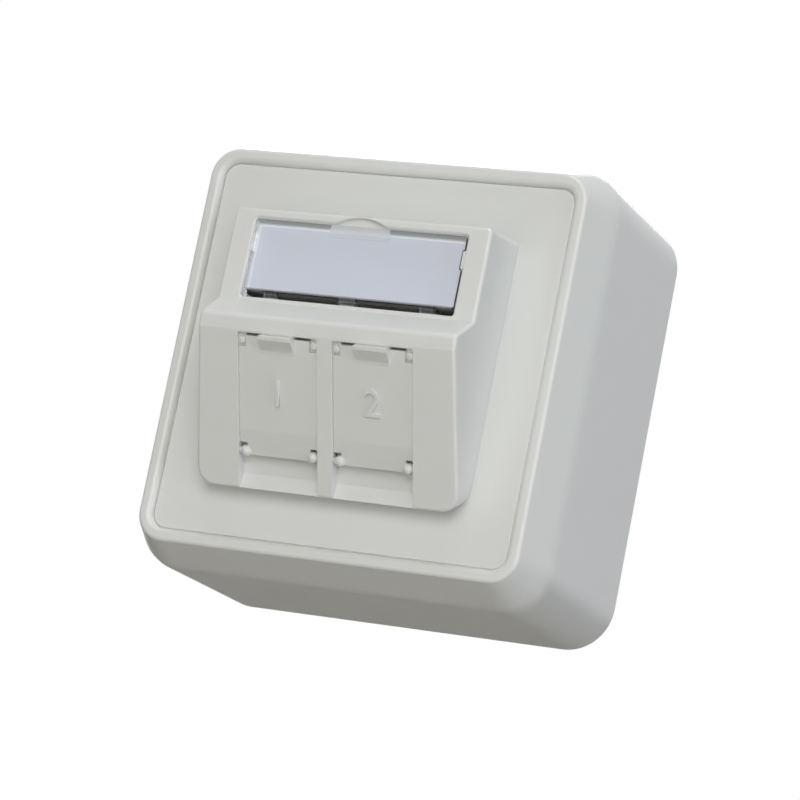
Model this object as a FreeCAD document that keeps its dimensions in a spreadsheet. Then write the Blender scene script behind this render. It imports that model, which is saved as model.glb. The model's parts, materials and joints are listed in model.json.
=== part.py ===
import FreeCAD, Part
import math
import os
import Sketcher

# Surface mount jack box with an angled hood for two data jacks, 80 mm square.
# Frame: origin in the centre of the back face on the wall, X to the right, Z up, the front faces -Y.
# Everything is in millimetres.

os.makedirs("parts", exist_ok=True)
doc = FreeCAD.newDocument("surface_jack_box")
V = FreeCAD.Vector

SIZES = [
    ("outer_width", 80.0, "housing, width and height"),
    ("box_depth", 42.0, "wall to the front rim"),
    ("corner_radius", 8.5, "upright corners of the housing"),
    ("wall", 2.4, "side wall of the housing"),
    ("bevel_inset", 3.4, "how far the front bevel leans in"),
    ("bevel_depth", 9.2, "how far back the front bevel starts"),
    ("rim_round", 0.7, "round of the rim's outer edge"),
    ("rim_inner_round", 1.1, "round of the rim's inner edge"),
    ("shoulder_round", 9.0, "soft round where the bevel starts"),
    ("rim_width", 5.73, "side of the housing to the cover plate's seat"),
    ("seat_depth", 3.1, "rim to the ledge the cover plate rests on"),
    ("ledge_reach", 1.75, "ledge the cover plate rests on"),
    ("ledge_thick", 1.6, "ledge the cover plate rests on"),
    ("fit_gap", 0.3, "all-round gap between parts that drop in"),
    ("plate_gap", 0.12, "cover plate to its seat, each side"),
    ("plate_thick", 2.0, "cover plate"),
    ("plate_radius", 2.7, "corners of the cover plate"),
    ("plate_edge", 0.25, "rounded edge of the cover plate"),
    ("hood_width", 50.7, "hood at the cover plate"),
    ("hood_draft", 3.0, "lean of the hood's side walls, degrees"),
    ("hood_top", 23.9, "hood's top wall at the cover plate"),
    ("hood_top_lean", 1.0, "how much lower the label panel's top is"),
    ("label_rise", 11.4, "label panel above the cover plate"),
    ("label_low", 5.95, "lower end of the label panel"),
    ("ridge_rise", 17.1, "ridge above the cover plate"),
    ("ridge_high", 1.95, "upper edge of the ridge"),
    ("ridge_low", -0.7, "lower edge of the ridge, start of the port face"),
    ("ridge_lean", 0.4, "how much the ridge falls back to the port face"),
    ("port_tilt", 27.5, "lean of the port face, degrees"),
    ("port_face", 28.6, "length of the port face down the slope"),
    ("skin", 2.2, "hood walls"),
    ("port_skin", 3.4, "hood wall under the port face"),
    ("hood_corner", 3.2, "lower corners of the hood"),
    ("hood_top_corner", 1.2, "upper corners of the hood"),
    ("hood_edge", 0.6, "edges of the hood"),
    ("ridge_round", 1.2, "upper edge of the ridge"),
    ("crease_round", 0.4, "lower edge of the ridge"),
    ("port_pitch", 18.2, "jack to jack"),
    ("flap_width", 15.1, "dust flap"),
    ("flap_gap", 0.1, "flap to its window, each side"),
    ("flap_thick", 1.3, "dust flap"),
    ("flap_sunk", 0.15, "flap below the port face"),
    ("window_top", 0.4, "upper end of the flap window, down the slope"),
    ("flap_low", 22.4, "lower end of the flap, down the slope"),
    ("window_depth", 2.2, "flap window below the port face"),
    ("pivot_down", 21.8, "flap pivot, down the slope"),
    ("pivot_deep", 0.85, "flap pivot below the port face"),
    ("knob_radius", 1.05, "ball-shaped knob at each lower corner of a flap"),
    ("pin_radius", 0.55, "pivot pin"),
    ("pin_gap", 0.05, "running gap round the pivot pin"),
    ("pin_reach", 0.8, "pivot pin into the hood"),
    ("ear_width", 1.45, "square ear in the window's upper corners"),
    ("ear_down", 2.85, "lower end of the ears, down the slope"),
    ("ear_sunk", 0.7, "ears below the port face"),
    ("ear_bump_tall", 1.45, "rounded stop on each ear"),
    ("ear_bump_out", 0.6, "rounded stop on each ear"),
    ("band_down", 17.9, "where the flap's lower band starts"),
    ("neck_width", 12.2, "flap between its knobs"),
    ("neck_down", 20.2, "upper end of the knob notch"),
    ("lip_width", 6.3, "finger lip of a flap"),
    ("lip_out", 1.3, "finger lip above the flap"),
    ("lip_tall", 2.3, "steep front of the finger lip, down the slope"),
    ("lip_blend", 1.2, "soft lower end of the finger lip"),
    ("slot_down", 0.98, "lower end of the slots beside the lip"),
    ("trough_deep", 1.8, "trough below a flap"),
    ("trough_crease", 26.2, "crease in the trough, down the slope"),
    ("port_centre", 10.9, "middle of a jack, down the slope"),
    ("port_open_wide", 12.6, "opening behind a flap"),
    ("port_open_tall", 12.4, "opening behind a flap"),
    ("label_wide", 41.0, "label recess"),
    ("label_tall", 14.6, "label recess"),
    ("label_bottom", 6.7, "lower edge of the label recess"),
    ("label_deep", 1.8, "label recess"),
    ("hook_inset", 4.1, "side of the label recess to the cover's outer hooks"),
    ("hook_wide", 2.6, "the cover's outer hooks"),
    ("middle_hook", 3.0, "the cover's hook in the middle"),
    ("gap_tall", 1.3, "deep pockets at both ends of the label recess"),
    ("gap_deep", 4.0, "deep pockets at both ends of the label recess"),
    ("pocket_wide", 3.7, "deep pockets at both ends of the label recess"),
    ("slit_tall", 0.65, "narrow slit between the pockets"),
    ("slit_up", 0.35, "narrow slit above the recess's lower edge"),
    ("guide_tall", 3.1, "locating rib on each side of the label recess"),
    ("guide_high", 16.8, "middle of the locating ribs"),
    ("guide_out", 0.4, "how far the locating ribs stand out"),
    ("sill_edge", 0.3, "lower edge of the label recess, cut back"),
    ("nail_half", 5.3, "finger nail recess, half chord"),
    ("nail_rise", 1.45, "finger nail recess above the label recess"),
    ("nail_deep", 1.0, "finger nail recess"),
    ("clear_thick", 1.0, "clear label cover"),
    ("clear_sunk", 0.25, "label cover below the panel"),
    ("card_gap_side", 0.7, "label card to the sides of its recess"),
    ("card_gap_high", 1.1, "label card to the top of its recess"),
    ("card_gap_low", 0.5, "label card to the deep gap below it"),
    ("card_thick", 0.25, "label card"),
    ("base_thick", 2.4, "base plate"),
    ("base_lip_rise", 3.0, "rim of the base plate inside the housing"),
    ("snap_wide", 12.0, "snap bar inside the housing"),
    ("snap_tall", 1.4, "snap bar inside the housing"),
    ("snap_back", 8.6, "wall to the snap bar"),
    ("wall_hole_inset", 10.0, "side of the housing to the middle of a wall slot"),
    ("wall_slot_wide", 4.6, "wall screw slots"),
    ("wall_slot_long", 9.0, "wall screw slots"),
    ("cable_wide", 30.0, "cable opening in the base plate"),
    ("cable_tall", 16.0, "cable opening in the base plate"),
    ("post_radius", 3.6, "screw posts"),
    ("post_x", 24.0, "screw posts, from the middle"),
    ("post_inset", 13.0, "upper and lower side of the housing to the screw posts"),
    ("post_hole_deep", 14.0, "screw holes in the posts"),
    ("web_thick", 1.4, "webs beside the posts"),
    ("web_long", 14.0, "webs beside the posts"),
    ("web_rise", 12.0, "webs beside the posts"),
    ("breakout_wide", 18.0, "thin place for a surface cable"),
    ("breakout_tall", 11.0, "thin place for a surface cable, from back to front"),
    ("breakout_back", 9.5, "middle of the thin place, in front of the wall"),
    ("flange_back", 6.0, "carrier's flanges behind the front rim"),
    ("sheet", 1.2, "carrier sheet"),
    ("carrier_deep", 11.0, "carrier sheet below the port face"),
    ("carrier_wide", 42.0, "carrier between its flanges"),
    ("flange_lap", 5.0, "carrier flanges beyond the middle of their screws"),
    ("screw_radius", 1.5, "machine screws"),
    ("screw_fit", 0.02, "thread to its hole"),
    ("head_radius", 2.75, "screw heads"),
    ("head_tall", 1.6, "screw heads"),
    ("cover_screw_x", 12.5, "cover screws, from the middle"),
    ("cover_screw_z", 14.2, "cover screws"),
    ("carrier_screw_long", 12.0, "carrier screws under the head"),
    ("clamp_screw_long", 8.0, "clamp screws under the head"),
    ("earth_screw_long", 6.0, "earth screw under the head"),
    ("tab_thick", 0.8, "earth tab"),
    ("tab_wide", 6.3, "earth tab"),
    ("tab_up", 2.7, "earth tab above its screw"),
    ("tab_down", 5.9, "earth tab below its screw"),
    ("tab_back", 12.0, "earth tab's spade towards the wall"),
    ("jack_wide", 15.8, "jack body"),
    ("jack_tall", 13.8, "jack body"),
    ("jack_long", 21.0, "jack body"),
    ("jack_back_off", 0.3, "jack face behind the hood wall"),
    ("plug_wide", 11.8, "plug opening"),
    ("plug_tall", 7.0, "plug opening"),
    ("plug_deep", 13.0, "plug opening"),
    ("shield_thick", 0.3, "jack shield"),
    ("shield_gap", 0.05, "jack body to its shield"),
    ("contact_spacing", 1.02, "contact to contact"),
    ("contact_wide", 0.46, "contact"),
    ("contact_start", 1.6, "contact's first bend behind the jack face"),
    ("contact_reach", 8.0, "sprung length of a contact"),
    ("contact_dip", 3.1, "drop of the sprung end"),
    ("blade_spacing", 3.6, "wire blade to wire blade"),
    ("blade_row", 4.4, "rows of wire blades, from the jack's middle"),
    ("blade_tall", 2.0, "wire blade"),
    ("blade_long", 7.4, "wire blade"),
    ("blade_thick", 0.8, "wire blade"),
    ("blade_sunk", 2.4, "wire blade in the jack body"),
    ("fork_deep", 3.0, "slot of the wire blade"),
    ("fork_edge", 0.4, "tips of the wire blade"),
    ("cap_long", 9.5, "wiring cap"),
    ("clamp_radius", 2.8, "posts of the cable clamp"),
    ("clamp_x", 11.0, "posts of the cable clamp"),
    ("clamp_inset", 19.0, "lower side of the housing to the cable clamp"),
    ("clamp_rise", 8.0, "height of the cable clamp posts"),
    ("clamp_bar", 2.5, "bar of the cable clamp"),
    ("clamp_wide", 6.4, "bar of the cable clamp"),
]


class Size:
    # a number that keeps the formula it came from, so that every sketch stays tied to the sheet
    def __init__(self, value, text):
        self.value, self.text = value, text

    def join(self, other, sign, value):
        return Size(value, "(%s %s %s)" % (self.text, sign, other.text))

    def __add__(self, other):
        other = as_size(other)
        return self.join(other, "+", self.value + other.value)

    def __sub__(self, other):
        other = as_size(other)
        return self.join(other, "-", self.value - other.value)

    def __mul__(self, other):
        other = as_size(other)
        return self.join(other, "*", self.value * other.value)

    def __truediv__(self, other):
        other = as_size(other)
        return self.join(other, "/", self.value / other.value)

    def __neg__(self):
        return Size(-self.value, "(0 - %s)" % self.text)


def as_size(x):
    return x if isinstance(x, Size) else Size(float(x), "(%.4f)" % x)


def sin(angle):
    return Size(math.sin(math.radians(angle.value)), "sin(%s)" % angle.text)


def cos(angle):
    return Size(math.cos(math.radians(angle.value)), "cos(%s)" % angle.text)


def tan(angle):
    return Size(math.tan(math.radians(angle.value)), "tan(%s)" % angle.text)


class Named:
    pass


def fill_sheet():
    sheet = doc.addObject("Spreadsheet::Sheet", "Sizes")
    named = Named()
    for row, (name, value, what) in enumerate(SIZES, start=1):
        sheet.set("A%d" % row, name)
        sheet.set("B%d" % row, "%g" % value)
        sheet.set("C%d" % row, what)
        sheet.setAlias("B%d" % row, name)
        setattr(named, name, Size(value, "Sizes." + name))
    doc.recompute()
    return named


g = fill_sheet()

HALF = g.outer_width / 2
PLATE_FRONT = g.box_depth - g.seat_depth + g.plate_thick
LABEL_FRONT = PLATE_FRONT + g.label_rise
RIDGE_FRONT = PLATE_FRONT + g.ridge_rise
PORT_FRONT = RIDGE_FRONT - g.ridge_lean
LABEL_FLOOR = LABEL_FRONT - g.label_deep
LABEL_TOP = g.label_bottom + g.label_tall
SEAT_WIDTH = g.outer_width - g.rim_width * 2
LEDGE_WIDTH = SEAT_WIDTH - g.ledge_reach * 2
PLATE_WIDTH = SEAT_WIDTH - g.plate_gap * 2
INNER_WIDTH = g.outer_width - g.wall * 2
WALL_HOLE = HALF - g.wall_hole_inset
POST_Z = HALF - g.post_inset
CLAMP_Z = g.clamp_inset - HALF
EARTH_Z = -POST_Z
FLANGE_FRONT = g.box_depth - g.flange_back
FLANGE_WIDTH = (g.post_x + g.flange_lap) * 2
SLOPE_DOWN = cos(g.port_tilt)
SLOPE_BACK = sin(g.port_tilt)


def port_point(down, deep):
    # (distance in front of the wall, height) of a point given down the port face and below its surface
    return (PORT_FRONT - SLOPE_BACK * down - SLOPE_DOWN * deep,
            g.ridge_low - SLOPE_DOWN * down + SLOPE_BACK * deep)


def new_body(name):
    body = doc.addObject("PartDesign::Body", name)
    body.Label = name
    return body


def origin_part(body, role):
    return next(f for f in body.Origin.OriginFeatures if f.Role == role)


class Drawing:
    # a fully held sketch on one of the body's own planes; on the XZ plane its normal points to the front
    def __init__(self, body, name, plane="XZ_Plane", off=0.0):
        self.sketch = body.newObject("Sketcher::SketchObject", name)
        self.sketch.AttachmentSupport = [(origin_part(body, plane), "")]
        self.sketch.MapMode = "FlatFace"
        off = as_size(off)
        self.sketch.AttachmentOffset = FreeCAD.Placement(V(0, 0, off.value), FreeCAD.Rotation())
        self.sketch.setExpression("AttachmentOffset.Base.z", off.text)

    def on_port_face(self, deep=0.0):
        # moved to the port face: x to the right, y up the slope, origin on the ridge's lower edge
        front, height = port_point(as_size(0.0), as_size(deep))
        self.sketch.AttachmentOffset = FreeCAD.Placement(
            V(0, height.value, front.value), FreeCAD.Rotation(V(1, 0, 0), g.port_tilt.value))
        self.sketch.setExpression("AttachmentOffset.Base.y", height.text)
        self.sketch.setExpression("AttachmentOffset.Base.z", front.text)
        self.sketch.setExpression("AttachmentOffset.Rotation.Angle", g.port_tilt.text)
        return self

    def hold(self, kind, *what):
        size = as_size(what[-1])
        k = self.sketch.addConstraint(Sketcher.Constraint(kind, *what[:-1], size.value))
        if "Sizes." in size.text:
            self.sketch.setExpression("Constraints[%d]" % k, size.text)

    def pin(self, line, end, x, y):
        for kind, size, axis in (("DistanceX", as_size(x), -2), ("DistanceY", as_size(y), -1)):
            if size.value == 0.0 and "Sizes." not in size.text:
                self.sketch.addConstraint(Sketcher.Constraint("PointOnObject", line, end, axis))
            else:
                self.hold(kind, -1, 1, line, end, size)

    def polygon(self, points):
        first = self.sketch.GeometryCount
        points = [(as_size(x), as_size(y)) for x, y in points]
        flat = [V(x.value, y.value, 0) for x, y in points]
        count = len(flat)
        for i in range(count):
            self.sketch.addGeometry(Part.LineSegment(flat[i], flat[(i + 1) % count]), False)
        for i in range(count):
            following = first + (i + 1) % count
            self.sketch.addConstraint(Sketcher.Constraint("Coincident", first + i, 2, following, 1))
        for i, (x, y) in enumerate(points):
            self.pin(first + i, 1, x, y)
        return self

    def box(self, x, y, wide, tall):
        x, y, wide, tall = (as_size(s) for s in (x, y, wide, tall))
        return self.polygon([(x - wide / 2, y - tall / 2), (x + wide / 2, y - tall / 2),
                             (x + wide / 2, y + tall / 2), (x - wide / 2, y + tall / 2)])

    def rounded(self, x, y, wide, tall, radius):
        first = self.sketch.GeometryCount
        x, y, wide, tall, radius = (as_size(s) for s in (x, y, wide, tall, radius))
        left, right, low, high = x - wide / 2, x + wide / 2, y - tall / 2, y + tall / 2
        a, b, c, d, r = left.value, right.value, low.value, high.value, radius.value
        lines = [(V(a + r, c), V(b - r, c)), (V(b, c + r), V(b, d - r)),
                 (V(b - r, d), V(a + r, d)), (V(a, d - r), V(a, c + r))]
        centres = [V(b - r, c + r), V(b - r, d - r), V(a + r, d - r), V(a + r, c + r)]
        for i in range(4):
            self.sketch.addGeometry(Part.LineSegment(*lines[i]), False)
            start = math.radians(90 * i - 90)
            circle = Part.Circle(centres[i], V(0, 0, 1), r)
            self.sketch.addGeometry(Part.ArcOfCircle(circle, start, start + math.pi / 2), False)
        for i in range(4):
            line, arc, following = first + 2 * i, first + 2 * i + 1, first + (2 * i + 2) % 8
            self.sketch.addConstraint(Sketcher.Constraint("Tangent", line, 2, arc, 1))
            self.sketch.addConstraint(Sketcher.Constraint("Tangent", arc, 2, following, 1))
            self.sketch.addConstraint(Sketcher.Constraint("Horizontal" if i % 2 == 0 else "Vertical", line))
            if i:
                self.sketch.addConstraint(Sketcher.Constraint("Equal", first + 1, arc))
        self.hold("Radius", first + 1, radius)
        self.hold("DistanceY", -1, 1, first, 1, low)
        self.hold("DistanceX", -1, 1, first + 2, 1, right)
        self.hold("DistanceY", -1, 1, first + 4, 1, high)
        self.hold("DistanceX", -1, 1, first + 6, 1, left)
        return self

    def circle(self, x, y, radius):
        first = self.sketch.GeometryCount
        x, y, radius = as_size(x), as_size(y), as_size(radius)
        self.sketch.addGeometry(Part.Circle(V(x.value, y.value, 0), V(0, 0, 1), radius.value), False)
        self.hold("Radius", first, radius)
        self.pin(first, 3, x, y)
        return self

    def slot(self, x, y, long, wide, upright=False):
        # two half circles and two straights
        first = self.sketch.GeometryCount
        x, y, long, wide = (as_size(s) for s in (x, y, long, wide))
        radius, reach = wide / 2, (long - wide) / 2
        ends = [(x, y + reach), (x, y - reach)] if upright else [(x + reach, y), (x - reach, y)]
        turn = 0.0 if upright else -math.pi / 2
        arcs = []
        for i, (cx, cy) in enumerate(ends):
            start = turn + math.pi * i
            circle = Part.Circle(V(cx.value, cy.value, 0), V(0, 0, 1), radius.value)
            arcs.append(Part.ArcOfCircle(circle, start, start + math.pi))
        joins = [Part.LineSegment(arcs[0].EndPoint, arcs[1].StartPoint),
                 Part.LineSegment(arcs[1].EndPoint, arcs[0].StartPoint)]
        for piece in (arcs[0], joins[0], arcs[1], joins[1]):
            self.sketch.addGeometry(piece, False)
        for i in range(4):
            self.sketch.addConstraint(Sketcher.Constraint("Tangent", first + i, 2, first + (i + 1) % 4, 1))
        self.hold("Radius", first, radius)
        self.pin(first, 3, *ends[0])
        self.pin(first + 2, 3, *ends[1])
        return self

    def half_disc(self, x, radius):
        # a half circle over the sketch's x axis, to be spun into a ball
        first = self.sketch.GeometryCount
        x, radius = as_size(x), as_size(radius)
        circle = Part.Circle(V(x.value, 0, 0), V(0, 0, 1), radius.value)
        self.sketch.addGeometry(Part.ArcOfCircle(circle, 0.0, math.pi), False)
        ends = V((x - radius).value, 0, 0), V((x + radius).value, 0, 0)
        self.sketch.addGeometry(Part.LineSegment(*ends), False)
        self.sketch.addConstraint(Sketcher.Constraint("Coincident", first, 2, first + 1, 1))
        self.sketch.addConstraint(Sketcher.Constraint("Coincident", first + 1, 2, first, 1))
        self.sketch.addConstraint(Sketcher.Constraint("PointOnObject", first, 1, -1))
        self.sketch.addConstraint(Sketcher.Constraint("PointOnObject", first, 2, -1))
        self.hold("Radius", first, radius)
        self.pin(first, 3, x, 0.0)
        return self

    def cap_segment(self, y, half, rise):
        # the part of a circle above a chord
        first = self.sketch.GeometryCount
        y, half, rise = as_size(y), as_size(half), as_size(rise)
        radius = (half * half + rise * rise) / (rise * 2)
        centre = V(0, (y + rise - radius).value, 0)
        start = math.atan2(y.value - centre.y, half.value)
        circle = Part.Circle(centre, V(0, 0, 1), radius.value)
        self.sketch.addGeometry(Part.ArcOfCircle(circle, start, math.pi - start), False)
        chord = Part.LineSegment(V(-half.value, y.value, 0), V(half.value, y.value, 0))
        self.sketch.addGeometry(chord, False)
        self.sketch.addConstraint(Sketcher.Constraint("Coincident", first, 2, first + 1, 1))
        self.sketch.addConstraint(Sketcher.Constraint("Coincident", first + 1, 2, first, 1))
        self.sketch.addConstraint(Sketcher.Constraint("PointOnObject", first, 3, -2))
        self.sketch.addConstraint(Sketcher.Constraint("Horizontal", first + 1))
        self.hold("Radius", first, radius)
        self.pin(first + 1, 2, half, y)
        return self


def finish(feature, before, grows):
    doc.recompute()
    if not feature.isValid() or feature.Shape.isNull():
        raise RuntimeError("%s did not build" % feature.Name)
    change = feature.Shape.Volume - before
    if (change <= 1e-6) if grows else (change >= -1e-6):
        raise RuntimeError("%s changed the volume by %.3f" % (feature.Name, change))
    return feature


def volume_of(body):
    return body.Shape.Volume if body.Tip and not body.Shape.isNull() else 0.0


def extrude(body, kind, name, drawing, length, reverse=False, mid=False, taper=None):
    before = volume_of(body)
    feature = body.newObject("PartDesign::" + kind, name)
    feature.Profile = drawing.sketch
    length = as_size(length)
    feature.Length = length.value
    feature.setExpression("Length", length.text)
    feature.Reversed = reverse
    if mid:
        feature.SideType = "Symmetric"
    if taper is not None:
        feature.TaperAngle = as_size(taper).value
        feature.setExpression("TaperAngle", as_size(taper).text)
    drawing.sketch.Visibility = False
    return finish(feature, before, kind == "Pad")


def pad(body, name, drawing, length, **options):
    return extrude(body, "Pad", name, drawing, length, **options)


def cut(body, name, drawing, length, **options):
    return extrude(body, "Pocket", name, drawing, length, **options)


def loft(body, kind, name, first, *others):
    before = volume_of(body)
    feature = body.newObject("PartDesign::" + kind, name)
    feature.Profile = first.sketch
    feature.Sections = [d.sketch for d in others]
    return finish(feature, before, kind == "AdditiveLoft")


def spin(body, kind, name, drawing, axis):
    before = volume_of(body)
    feature = body.newObject("PartDesign::" + kind, name)
    feature.Profile = drawing.sketch
    feature.ReferenceAxis = (drawing.sketch, [axis])
    feature.Angle = 360.0
    return finish(feature, before, kind == "Revolution")


def edges_of(feature, test):
    return ["Edge%d" % (i + 1) for i, edge in enumerate(feature.Shape.Edges) if test(edge)]


def soften(body, kind, name, test, size, second=None, flip=False):
    tip = body.Tip
    names = edges_of(tip, test)
    if not names:
        raise RuntimeError("%s found no edges" % name)
    feature = body.newObject("PartDesign::" + kind, name)
    feature.Base = (tip, names)
    size = as_size(size)
    field = "Radius" if kind == "Fillet" else "Size"
    setattr(feature, field, size.value)
    feature.setExpression(field, size.text)
    if second is not None:
        second = as_size(second)
        feature.ChamferType = "Two distances"
        feature.Size2 = second.value
        feature.setExpression("Size2", second.text)
        feature.FlipDirection = flip
    doc.recompute()
    if not feature.isValid() or feature.Shape.isNull() or not feature.Shape.isValid():
        raise RuntimeError("%s did not build" % name)
    return feature


def fillet(body, name, test, radius):
    return soften(body, "Fillet", name, test, radius)


def chamfer(body, name, test, size, second=None, flip=False):
    return soften(body, "Chamfer", name, test, size, second, flip)


def mirror(body, name, features, plane="YZ_Plane"):
    feature = body.newObject("PartDesign::Mirrored", name)
    feature.Originals = features
    feature.MirrorPlane = (origin_part(body, plane), [""])
    body.Tip = feature
    doc.recompute()
    return feature


def repeat(body, name, features, axis, length, count, axis2=None, length2=None):
    # copies in a row, or in a grid with a second axis
    feature = body.newObject("PartDesign::LinearPattern", name)
    feature.Originals = features
    feature.Direction = (origin_part(body, axis), [""])
    length = as_size(length)
    feature.Length = length.value
    feature.setExpression("Length", length.text)
    feature.Occurrences = count
    if axis2:
        length2 = as_size(length2)
        feature.Direction2 = (origin_part(body, axis2), [""])
        feature.Length2 = length2.value
        feature.setExpression("Length2", length2.text)
        feature.Occurrences2 = 2
    body.Tip = feature
    doc.recompute()
    return feature


def place(body, x=0.0, front=0.0, height=0.0, tilt=False):
    x, front, height = as_size(x), as_size(front), as_size(height)
    turn = FreeCAD.Rotation(V(1, 0, 0), g.port_tilt.value if tilt else 0.0)
    body.Placement = FreeCAD.Placement(V(x.value, -front.value, height.value), turn)
    body.setExpression("Placement.Base.x", x.text)
    body.setExpression("Placement.Base.y", "0 - " + front.text)
    body.setExpression("Placement.Base.z", height.text)
    if tilt:
        body.setExpression("Placement.Rotation.Angle", g.port_tilt.text)


def near(a, b, slack=0.02):
    return abs(a - as_size(b).value) < slack


def at_front(edge, front):
    box = edge.BoundBox
    return near(box.YMin, -as_size(front)) and near(box.YMax, -as_size(front))


def make_housing():
    body = new_body("housing")
    outline = Drawing(body, "housing_outline").rounded(0, 0, g.outer_width, g.outer_width, g.corner_radius)
    pad(body, "housing_block", outline, g.box_depth)
    chamfer(body, "front_bevel", lambda e: at_front(e, g.box_depth), g.bevel_inset, g.bevel_depth, flip=True)
    fillet(body, "soft_shoulder", lambda e: at_front(e, g.box_depth - g.bevel_depth), g.shoulder_round)
    fillet(body, "rim_bead", lambda e: at_front(e, g.box_depth), g.rim_round)
    inner = INNER_WIDTH
    inner_radius = g.corner_radius - g.wall
    deep_end = g.box_depth - g.bevel_depth - 1.0
    cavity = Drawing(body, "cavity_outline").rounded(0, 0, inner, inner, inner_radius)
    cut(body, "cavity", cavity, deep_end, reverse=True)
    ledge_back = g.box_depth - g.seat_depth - g.ledge_thick
    throat = inner - g.bevel_inset * 1.1
    wide_end = Drawing(body, "throat_wide", off=deep_end).rounded(0, 0, inner, inner, inner_radius)
    slim_end = Drawing(body, "throat_slim", off=ledge_back).rounded(0, 0, throat, throat, inner_radius - 1.5)
    loft(body, "SubtractiveLoft", "throat", wide_end, slim_end)
    opening = Drawing(body, "ledge_outline", off=ledge_back - 0.5)
    opening.rounded(0, 0, LEDGE_WIDTH, LEDGE_WIDTH, 2.0)
    cut(body, "ledge_opening", opening, g.seat_depth + g.ledge_thick + 0.8, reverse=True)
    seat_radius = g.plate_radius + g.plate_gap
    seat = Drawing(body, "seat_outline", off=g.box_depth).rounded(0, 0, SEAT_WIDTH, SEAT_WIDTH, seat_radius)
    cut(body, "cover_seat", seat, g.seat_depth)
    inner_edge = SEAT_WIDTH / 2

    def seat_edge(e):
        box = e.BoundBox
        reach = max(abs(box.XMin), abs(box.XMax), abs(box.ZMin), abs(box.ZMax))
        return at_front(e, g.box_depth) and reach < inner_edge.value + 0.05

    fillet(body, "rim_inner_bead", seat_edge, g.rim_inner_round)
    half_inner = inner / 2
    snap = Drawing(body, "snap_outline", off=g.snap_back)
    snap.box(half_inner - 0.2, 0, 1.4, g.snap_wide)
    pad(body, "snap_bar", snap, g.snap_tall)
    mirror(body, "snap_bars", [body.Tip])
    rib = Drawing(body, "rib_outline", off=12.0)
    for side in (-1, 1):
        rib.box(half_inner * 0.55 * side, half_inner - 0.5, 1.4, 2.0)
    ribs = pad(body, "ledge_ribs", rib, deep_end - 12.0 + 1.0)
    ring = body.newObject("PartDesign::PolarPattern", "ledge_ribs_round")
    ring.Originals = [ribs]
    ring.Axis = (origin_part(body, "Y_Axis"), [""])
    ring.Angle = 360.0
    ring.Occurrences = 4
    body.Tip = ring
    doc.recompute()
    knock = Drawing(body, "breakout_outline", plane="XY_Plane", off=-half_inner + 0.5)
    knock.rounded(0, -g.breakout_back, g.breakout_wide, g.breakout_tall, 3.0)
    thin = cut(body, "cable_breakout", knock, g.wall * 0.6 + 0.5)
    mirror(body, "cable_breakouts", [thin], plane="XY_Plane")
    return body


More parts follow.
